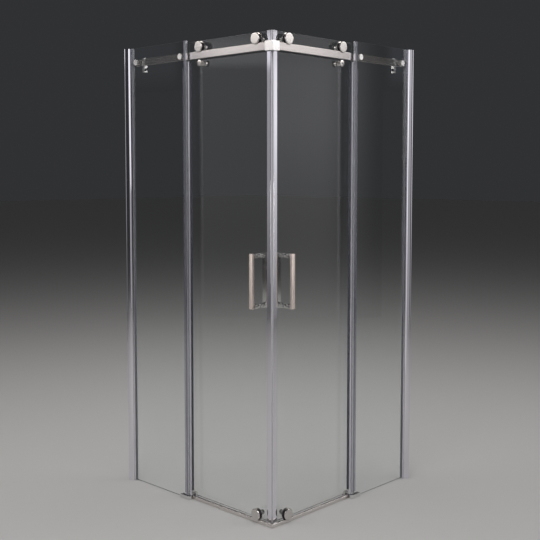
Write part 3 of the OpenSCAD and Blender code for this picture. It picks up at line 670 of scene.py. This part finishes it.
# Axles, nuts and lift pins
axleSet = {
    "headAt": 17.35,
    "headR": 6.0,
    "headEase": 0.6,
    "neckEase": 0.3,
    "journalAt": 20.35,
    "journalR": 3.95,
    "collarAt": 27.45,
    "collarR": 6.0,
    "shoulderAt": 29.0,
    "shoulderR": 9.0,
    "shoulderEase": 0.8,
    "boltR": 5.0,
    "tipEase": 0.5,
}
nutSet = {"thick": 10.0, "r": 9.5, "bevel": 1.2, "backEase": 0.6, "socket": (3.0, 1.4)}
liftSet = {
    "discThick": 4.0,
    "discEase": 1.2,
    "backEase": 0.5,
    "neckR": 8.0,
    "neckEase": 0.6,
    "footLong": 7.0,
    "footR": 10.0,
    "footEase": 0.8,
    "socket": (3.0, 2.5),
}


# Depths that a door's bolts share: both faces of the clear washers, and the ends of the bolts
def clampOf(panel):
    face, back = panelBox(f"{panel}_washers")[:, 1]
    return {"face": face, "back": back, "end": panelBox(f"{panel}_axles")[1][1]}


# Shouldered axle: head, journal for the bearing, collar, shoulder against the washer, and bolt
def axleShell(put, clamp, centre):
    profile = eased([
        (put["headAt"], poleR, 0), (put["headAt"], put["headR"], put["headEase"]),
        (put["journalAt"], put["headR"], put["neckEase"]),
        (put["journalAt"], put["journalR"], 0), (put["collarAt"], put["journalR"], 0),
        (put["collarAt"], put["collarR"], 0), (put["shoulderAt"], put["collarR"], 0),
        (put["shoulderAt"], put["shoulderR"], put["shoulderEase"]),
        (clamp["face"], put["shoulderR"], put["shoulderEase"]), (clamp["face"], put["boltR"], 0),
        (clamp["end"], put["boltR"], put["tipEase"]), (clamp["end"], poleR, 0)])
    return turned(profile, centre)


# Round nut, drawn from its outer face inside the shower, where the socket opens
def nutShell(put, clamp, centre):
    outer, at = -clamp["back"] - put["thick"], -clamp["back"]
    profile = eased([(outer, poleR, 0), (outer, put["r"], put["bevel"]),
                     (at, put["r"], put["backEase"]), (at, poleR, 0)])
    return fromInside(turned(profile, centre, socket=put["socket"]))


# Stepped pin: disc under the rail, neck, foot against the washer, and the axles' bolt
def liftShell(put, axle, clamp, node):
    box = panelBox(node)
    along, _, height = middleOf(node)
    face, discR = box[0][1], (box[1][0] - box[0][0]) / 2
    back, foot = face + put["discThick"], clamp["face"] - put["footLong"]
    profile = eased([
        (face, poleR, 0), (face, discR, put["discEase"]), (back, discR, put["backEase"]),
        (back, put["neckR"], put["neckEase"]), (foot, put["neckR"], put["neckEase"]),
        (foot, put["footR"], put["footEase"]), (clamp["face"], put["footR"], put["backEase"]),
        (clamp["face"], axle["boltR"], 0), (clamp["end"], axle["boltR"], axle["tipEase"]),
        (clamp["end"], poleR, 0)])
    return turned(profile, (along, 0, height), socket=put["socket"])


for panel in panels:
    door, pin, clamp = f"{panel}_door", f"{panel}_lift_pin", clampOf(panel)
    axleCentres = [rollerOf(panel, which)["centre"] for which in rollerNames]
    nutCentres = axleCentres + [(middleOf(pin)[0], 0, middleOf(pin)[2])]
    makePiece(f"{panel}_axleBolts", [(panel, axleShell(axleSet, clamp, c)) for c in axleCentres],
              "turnedSteel", door, f"{panel}_axles")
    makePiece(f"{panel}_roundNuts", [(panel, nutShell(nutSet, clamp, c)) for c in nutCentres],
              "turnedSteel", door, f"{panel}_nuts")
    makePiece(f"{panel}_liftPin", [(panel, liftShell(liftSet, axleSet, clamp, pin))],
              "turnedSteel", door, pin)
print("axles, nuts and lift pins made")


# Standoffs, stopper bumpers and small screws
standoffSet = {
    "inset": 34,        # from the free edge of the fixed glass
    "wallGap": 57,      # from the wall
    "capR": 13.0,
    "faceIn": 1.6,      # from the cap's rim to its dished face
    "dishSteps": (0.03, 0.35, 0.7, 0.92),   # shares of the face's radius
    "dish": 0.10,
    "rimEase": 1.2,
    "backEase": 0.4,
    "shankR": 4.0,
    "shankEnd": 25.0,
    "tipEase": 0.5,
    "spacerR": 9.0,
    "spacerBore": 4.1,
    "spacerEase": 0.6,
}
screwSet = {
    "elbowInset": 11,   # from the elbow's end
    "spread": 8,        # above and below the rail's middle
    "elbowBack": 29.0,
    "stopProud": 0.5,   # from the stopper's back
    "r": 2.4,
    "backEase": 0.3,
    "tipEase": 0.2,
    "socket": (1.25, 1.3),
    "segments": 24,
}
bumperSet = {"long": 9.0, "r": 5.5, "noseEase": 2.2, "backEase": 0.3}


# Measures of a panel's standoffs: their middles from the fixed glass, the wall and the rail, and
# the depths of cap and spacer from the boxes of caps, washers and spacers and the rail's face
def standoffsOf(panel, put):
    glass, wall, rail = (panelBox(f"{panel}_{kind}")
                         for kind in ("fixed_glass", "wall_channel", "rail"))
    height = middleOf(f"{panel}_rail")[2]
    alongs = (glass[0][0] + put["inset"], wall[1][0] - put["wallGap"])
    return {
        "centres": [(along, 0, height) for along in alongs],
        "faceAt": panelBox("standoff_caps")[0][1], "back": panelBox("standoff_washers")[0][1],
        "spacerAt": panelBox("standoff_spacers")[0][1], "spacerBack": rail[0][1],
    }


# Cap whose face is dished by the square of the radius, with a rounded rim and its shank
def capShell(put, standoff, centre):
    face, back = standoff["faceAt"], standoff["back"]
    faceR = put["capR"] - put["faceIn"]
    reach = np.array(put["dishSteps"]) * faceR
    dish = face + put["dish"] * (1 - (reach / faceR) ** 2)
    rest = eased([(face, faceR, 0), (face, put["capR"], put["rimEase"]),
                  (back, put["capR"], put["backEase"]), (back, put["shankR"], 0),
                  (put["shankEnd"], put["shankR"], put["tipEase"]), (put["shankEnd"], poleR, 0)])
    return turned(np.vstack([np.column_stack([dish, reach]), rest]), centre)


# Sleeve between the glass washer and the rail
def spacerShell(put, standoff, centre):
    at, back = standoff["spacerAt"], standoff["spacerBack"]
    bore, out, ease = put["spacerBore"], put["spacerR"], put["spacerEase"]
    loop = eased([(at, bore, 0), (at, out, ease), (back, out, ease), (back, bore, 0)], wrap=True)
    return turned(loop, centre, wrap=True)


# Set screw from its outer face, with its socket towards the shower, to the back of the rail
def screwShell(put, centre, back, railBack):
    profile = eased([(-back, poleR, 0), (-back, put["r"], put["backEase"]),
                     (-railBack, put["r"], put["tipEase"]), (-railBack, poleR, 0)])
    return fromInside(turned(profile, centre, socket=put["socket"], segments=put["segments"]))


# Rubber nose turned about the rail's direction, from the stopper towards the lift pin
def bumperShell(put, panel):
    back = panelBox(f"{panel}_stopper")[0][0]
    depth, height = middleOf(f"{panel}_rail")[1], middleOf(f"{panel}_lift_pin")[2]
    profile = eased([(back - put["long"], poleR, 0), (back - put["long"], put["r"], put["noseEase"]),
                     (back, put["r"], put["backEase"]), (back, poleR, 0)])
    return turned(profile, (0, depth, height), axis=0)


# A panel's three set screws: two in the elbow, above and below the rail's middle, one in the stopper
def screwShells(put, panel):
    railBack, height = panelBox(f"{panel}_rail")[1][1], middleOf(f"{panel}_rail")[2]
    along = panelBox("rail_corner")[1][0] - put["elbowInset"]
    shells = [screwShell(put, (along, 0, height + rise), put["elbowBack"], railBack)
              for rise in (-put["spread"], put["spread"])]
    stop = f"{panel}_stopper"
    shells.append(screwShell(put, (middleOf(stop)[0], 0, height),
                             panelBox(stop)[1][1] + put["stopProud"], railBack))
    return shells


caps, spacers, screws, bumpers = [], [], [], []
for panel in panels:
    standoff = standoffsOf(panel, standoffSet)
    for centre in standoff["centres"]:
        caps.append((panel, capShell(standoffSet, standoff, centre)))
        spacers.append((panel, spacerShell(standoffSet, standoff, centre)))
    screws += [(panel, shell) for shell in screwShells(screwSet, panel)]
    bumpers.append((panel, bumperShell(bumperSet, panel)))
makePiece("standoffCaps", caps, "capSteel", "frame", "standoff_caps")
makePiece("standoffSpacers", spacers, "turnedSteel", "frame", "standoff_spacers")
makePiece("socketScrews", screws, "screwSteel", "frame", "set_screws")
makePiece("rubberBumpers", bumpers, "blackRubber", "frame", "stopper_bumpers")
print("standoffs, screws and bumpers made")


# Handles
handleSet = {
    "barThick": 12,
    "legWide": 16,
    "legHigh": 18,
    "barEdge": 2.0,
    "legEdge": 1.4,
    "sink": 2.0,        # of a leg into the bar
    "tuck": 0.5,        # of a leg over its foot
    "footLong": {"outer": 12.5, "inner": 6.5},
    "footR": 8.0,
    "footEase": 0.8,
    "waist": 0.6,
    "waistEase": 1.5,
    "studR": 4.0,
    "studIn": 1.0,      # of a stud into its foot
    "tipEase": 0.5,
}


# Depths of a handle's parts: the bar at the far side of its node's box, a foot against the washers,
# a leg from one into the other, and on the outer handle a stud to the box's other side
def handleSpans(put, panel, side):
    low, high = panelBox(f"{panel}_handle_{side}")[:, 1]
    face, back = panelBox(f"{panel}_washers")[:, 1]
    thick, foot = put["barThick"], put["footLong"][side]
    if side == "outer":
        return {"bar": (low, low + thick),
                "leg": (low + thick - put["sink"], face - foot + put["tuck"]),
                "foot": (face - foot, face), "stud": (face - put["studIn"], high)}
    return {"bar": (high - thick, high),
            "leg": (back + foot - put["tuck"], high - thick + put["sink"]),
            "foot": (back, back + foot), "stud": None}


# Turned foot with a shallow waist between its two rims
def footShell(put, span, centre):
    near, far = span
    middle, out = (near + far) / 2, put["footR"]
    profile = eased([(near, poleR, 0), (near, out, put["footEase"]),
                     (middle, out - put["waist"], put["waistEase"]),
                     (far, out, put["footEase"]), (far, poleR, 0)])
    return turned(profile, centre)


# Stud through the glass, plain where its thread would be
def studShell(put, span, centre):
    near, far = span
    return turned(eased([(near, poleR, 0), (near, put["studR"], 0),
                         (far, put["studR"], put["tipEase"]), (far, poleR, 0)]), centre)


# Upright bar with rounded edges, as wide and as high as its node's box
def handleBar(put, panel, side):
    low, high = panelBox(f"{panel}_handle_{side}")
    near, far = handleSpans(put, panel, side)["bar"]
    return roundedBar((low[0], near, low[2]), (high[0], far, high[2]),
                      2, put["barEdge"], put["barEdge"])


# Both legs of a handle, flush with the ends of the bar, each with its foot and, outside, its stud
def handleLegs(put, panel, side):
    low, high = panelBox(f"{panel}_handle_{side}")
    middle, halfLeg = (low[0] + high[0]) / 2, put["legWide"] / 2
    spans = handleSpans(put, panel, side)
    near, far = spans["leg"]
    shells = []
    for foot in (low[2], high[2] - put["legHigh"]):
        shells.append(roundedBar((middle - halfLeg, near, foot),
                                 (middle + halfLeg, far, foot + put["legHigh"]),
                                 1, put["legEdge"], put["legEdge"] / 2))
        centre = (middle, 0, foot + put["legHigh"] / 2)
        shells.append(footShell(put, spans["foot"], centre))
        if spans["stud"]:
            shells.append(studShell(put, spans["stud"], centre))
    return shells


for panel in panels:
    door = f"{panel}_door"
    bar, legs = handleBar(handleSet, panel, "outer"), handleLegs(handleSet, panel, "outer")
    inner = [handleBar(handleSet, panel, "inner")] + handleLegs(handleSet, panel, "inner")
    makePiece(f"{panel}_pullBar", [(panel, bar)], "handleSatin", door, f"{panel}_handle_outer")
    makePiece(f"{panel}_pullLegs", [(panel, shell) for shell in legs], "handlePolish", door)
    makePiece(f"{panel}_innerHandle", [(panel, shell) for shell in inner], "handlePolish", door,
              f"{panel}_handle_inner")
print("handles made")


# Studio
studioSet = {
    "floorSize": 40.0,
    "floorDrop": 0.0005,    # under the enclosure's feet
    "floorColour": (0.60, 0.595, 0.59),
    "floorRough": 0.6,
    "backdrop": (0.030, 0.031, 0.033),
    "ambient": (0.035, 0.035, 0.036),
    "glow": 0.28,
    "glowFrom": 0.45,       # upward part of a ray, above which it meets the glow
}
# Soft boxes: the spread is the grid's angle in degrees, and only gridded ones are below 180
softLights = [
    {"name": "topSoft", "place": (0.3, -0.3, 4.4), "aim": (0.0, 0.0, 0.0),
     "size": (5.0, 5.0), "bright": 1.6, "spread": 180, "mirrored": False, "tint": (1.0, 0.99, 0.98)},
    {"name": "frontSoft", "place": (2.2, -4.6, 3.9), "aim": (0.0, 0.0, 1.0),
     "size": (2.6, 1.4), "bright": 5.0, "spread": 180, "tint": (1.0, 0.99, 0.98)},
    {"name": "upperLeft", "place": (-3.12, -4.34, 3.82), "aim": (0.0, 0.0, 3.82),
     "size": (2.9, 1.8), "bright": 3.6, "spread": 180, "tint": (1.0, 0.96, 0.935)},
    {"name": "upperRight", "place": (3.88, 3.58, 3.82), "aim": (0.0, 0.0, 3.82),
     "size": (2.9, 1.8), "bright": 3.9, "spread": 180, "tint": (1.0, 0.975, 0.965)},
    {"name": "channelRight", "place": (1.70, -1.61, 1.45), "aim": (0.43, 0.43, 1.45),
     "size": (0.9, 3.0), "bright": 0.8, "spread": 30, "tint": (0.98, 0.975, 1.0)},
    {"name": "channelLeft", "place": (1.90, -1.45, 2.15), "aim": (-0.43, -0.43, 2.15),
     "size": (1.0, 1.7), "bright": 1.0, "spread": 30, "tint": (0.98, 0.975, 1.0)},
    {"name": "handleLeft", "place": (-1.04, -2.54, 1.0), "aim": (0.32, -0.44, 1.0),
     "size": (0.35, 0.7), "bright": 9.0, "spread": 18, "tint": (1.0, 0.98, 0.96)},
    {"name": "handleRight", "place": (2.46, 1.15, 1.0), "aim": (0.44, -0.32, 1.0),
     "size": (0.35, 0.7), "bright": 9.0, "spread": 18, "tint": (1.0, 0.98, 0.96)},
]
# Upright light cards that only reflections see: two feet, and brightness against height. A card
# hides what lies behind it, so the dim ones start where the main ones end
lightCards = [
    {"name": "cardLeft", "feet": ((-3.19, -4.262), (-3.87, -3.694)), "tint": (0.97, 0.97, 1.0),
     "levels": ((0.0, 0.12), (0.6, 0.22), (1.2, 0.38), (1.9, 0.42), (2.4, 0.45),
                (2.49, 1.12), (2.64, 1.12), (2.78, 0.60)),
     "fade": 0.13},
    {"name": "cardRight", "feet": ((4.45, 2.95), (3.35, 4.15)), "tint": (0.985, 0.975, 1.0),
     "levels": ((0.0, 0.22), (0.6, 0.40), (1.14, 0.60), (1.9, 0.98), (2.38, 0.98),
                (2.50, 0.84), (2.78, 0.84)),
     "fade": 0.35},
    {"name": "cardCamera", "feet": ((3.30, -4.90), (4.60, -3.00)), "tint": (0.99, 0.985, 1.0),
     "levels": ((0.0, 0.40), (1.4, 0.55), (1.9, 1.00), (2.5, 1.45), (3.2, 1.45)), "fade": 0.30},
    {"name": "cardBeside", "feet": ((4.35, -3.90), (5.09, 2.21)), "tint": (0.98, 0.97, 1.0),
     "levels": ((0.0, 0.30), (1.4, 0.34), (1.9, 0.42), (2.5, 0.55), (3.2, 0.60)), "fade": 0.20},
    {"name": "dimLeft", "feet": ((-3.87, -3.694), (-5.05, -3.45)), "tint": (0.72, 0.82, 1.0),
     "levels": ((2.20, 0.0), (2.40, 0.14), (2.72, 0.14), (2.92, 0.0)), "fade": 0.12},
    {"name": "dimRight", "feet": ((3.35, 4.15), (3.05, 5.35)), "tint": (0.72, 0.82, 1.0),
     "levels": ((2.20, 0.0), (2.40, 0.20), (2.72, 0.20), (2.92, 0.0)), "fade": 0.12},
]


# One inside a card and nought at its two upright edges: the distance from the card's middle runs
# smoothly from one to nought between half less the fade and half
def makeFadeGroup():
    group, given, leave = newGroup("edgeFade", {
        "Across": (number, 0.5), "Fade": (number, 0.2)}, {"Mask": number})
    away = calculate(group, "ABSOLUTE", calculate(group, "SUBTRACT", given["Across"], 0.5))
    run = addNode(group, "ShaderNodeMapRange", {
        "Value": away, "From Min": calculate(group, "SUBTRACT", 0.5, given["Fade"]),
        "From Max": 0.5, "To Min": 1.0, "To Max": 0.0}, interpolation_type="SMOOTHSTEP")
    setInputs(leave, {"Mask": run.outputs["Result"]})
    return group


fadeGroup = makeFadeGroup()


# Staging quad from its four corners, with the unit square spread over it
def linkStage(name, corners, material):
    mesh = bpy.data.meshes.new(name)
    mesh.from_pydata(np.asarray(corners, float).tolist(), [], [(0, 1, 2, 3)])
    mesh.uv_layers.new(name="spread").data.foreach_set("uv", [0, 0, 1, 0, 1, 1, 0, 1])
    mesh.materials.append(material)
    thing = bpy.data.objects.new(name, mesh)
    bpy.context.scene.collection.objects.link(thing)
    return thing


# Material of a card: a ramp gives each height's share of the brightest level, in the card's tint,
# and the fade darkens it towards the upright edges
def cardMaterial(put):
    material, tree, shader = newMaterial(put["name"])
    place = addNode(tree, "ShaderNodeUVMap", uv_map="spread").outputs["UV"]
    part = addNode(tree, "ShaderNodeSeparateXYZ", {"Vector": place}).outputs
    fade = placeGroup(tree, fadeGroup, {"Across": part["X"], "Fade": put["fade"]})
    foot, top = put["levels"][0][0], put["levels"][-1][0]
    peak = max(level for _, level in put["levels"])
    ramp = addNode(tree, "ShaderNodeValToRGB", {"Fac": part["Y"]})
    stops = ramp.color_ramp.elements
    while len(stops) < len(put["levels"]):
        stops.new(0.5)
    for stop, (height, level) in zip(stops, put["levels"]):
        stop.position = (height - foot) / (top - foot)
        stop.color = (*(level / peak * np.array(put["tint"])), 1.0)
    glow = addNode(tree, "ShaderNodeVectorMath", {0: ramp.outputs["Color"], "Scale": fade["Mask"]},
                   operation="SCALE")
    setInputs(shader, {"Base Color": (0.0, 0.0, 0.0), "Roughness": 1.0, "Specular IOR Level": 0.0,
                       "Emission Color": glow.outputs["Vector"], "Emission Strength": peak})
    return material


# Card between its two feet, from its lowest level to its highest
def makeCard(put):
    foot, top = put["levels"][0][0], put["levels"][-1][0]
    (x0, y0), (x1, y1) = put["feet"]
    card = linkStage(put["name"], [(x0, y0, foot), (x1, y1, foot), (x1, y1, top),
                                   (x0, y0, top)], cardMaterial(put))
    card.visible_camera = False
    card.visible_diffuse = False
    card.visible_transmission = False
    card.visible_shadow = False


# Square floor, a little under the enclosure
def makeFloor(put):
    size, height = put["floorSize"], -put["floorDrop"]
    material, _, shader = newMaterial("studioFloor")
    setInputs(shader, {"Base Color": put["floorColour"], "Roughness": put["floorRough"]})
    linkStage("studioFloor", [(-size, -size, height), (size, -size, height),
                              (size, size, height), (-size, size, height)], material)


# World in two parts: the backdrop, or the ambient light for diffuse rays, and for mirrored rays
# above glowFrom an overhead glow that rises smoothly with the upward part of the ray
def makeWorld(put):
    world = bpy.data.worlds.new("studioWorld")
    world.use_nodes = True
    tree = world.node_tree
    seen = tree.nodes["Background"]
    setInputs(seen, {"Color": put["backdrop"], "Strength": 1.0})
    ambient = addNode(tree, "ShaderNodeBackground", {"Color": put["ambient"], "Strength": 1.0})
    path = addNode(tree, "ShaderNodeLightPath").outputs
    around = addNode(tree, "ShaderNodeMixShader", {
        0: path["Is Diffuse Ray"], 1: seen.outputs[0], 2: ambient.outputs[0]})
    ray = addNode(tree, "ShaderNodeTexCoord").outputs["Generated"]
    upward = addNode(tree, "ShaderNodeSeparateXYZ", {"Vector": ray}).outputs["Z"]
    rise = addNode(tree, "ShaderNodeMapRange", {
        "Value": upward, "From Min": put["glowFrom"], "From Max": 1.0, "To Min": 0.0,
        "To Max": put["glow"]}, interpolation_type="SMOOTHSTEP")
    glow = addNode(tree, "ShaderNodeBackground", {"Strength": rise.outputs["Result"]})
    above = calculate(tree, "GREATER_THAN", upward, put["glowFrom"])
    shown = calculate(tree, "MULTIPLY", path["Is Glossy Ray"], above)
    sky = addNode(tree, "ShaderNodeMixShader", {
        0: shown, 1: around.outputs[0], 2: glow.outputs[0]})
    setInputs(tree.nodes["World Output"], {"Surface": sky.outputs[0]})
    bpy.context.scene.world = world
    bpy.context.scene.view_settings.view_transform = "Standard"


# Soft box turned from its place towards its aim. Its energy is brightness times pi times area, over
# a grid's factor: the tangent of half its angle over that tangent less the half angle itself
def makeLight(put):
    data = bpy.data.lights.new(put["name"], "AREA")
    data.shape = "RECTANGLE"
    data.size, data.size_y = put["size"]
    half = math.radians(put["spread"] / 2)
    grid = 1.0 if put["spread"] == 180 else math.tan(half) / (math.tan(half) - half)
    data.energy = put["bright"] * math.pi * data.size * data.size_y / grid
    data.spread = 2 * half
    data.color = put["tint"]
    light = bpy.data.objects.new(put["name"], data)
    place = np.array(put["place"])
    toward = np.array(put["aim"]) - place
    flat = math.hypot(toward[0], toward[1])
    light.location = put["place"]
    light.rotation_euler = (math.atan2(flat, -toward[2]), 0, math.atan2(-toward[0], toward[1]))
    light.visible_camera = False
    light.visible_transmission = False
    light.visible_glossy = put.get("mirrored", True)
    bpy.context.scene.collection.objects.link(light)


makeFloor(studioSet)
makeWorld(studioSet)
for softLight in softLights:
    makeLight(softLight)
for lightCard in lightCards:
    makeCard(lightCard)
print("studio made")
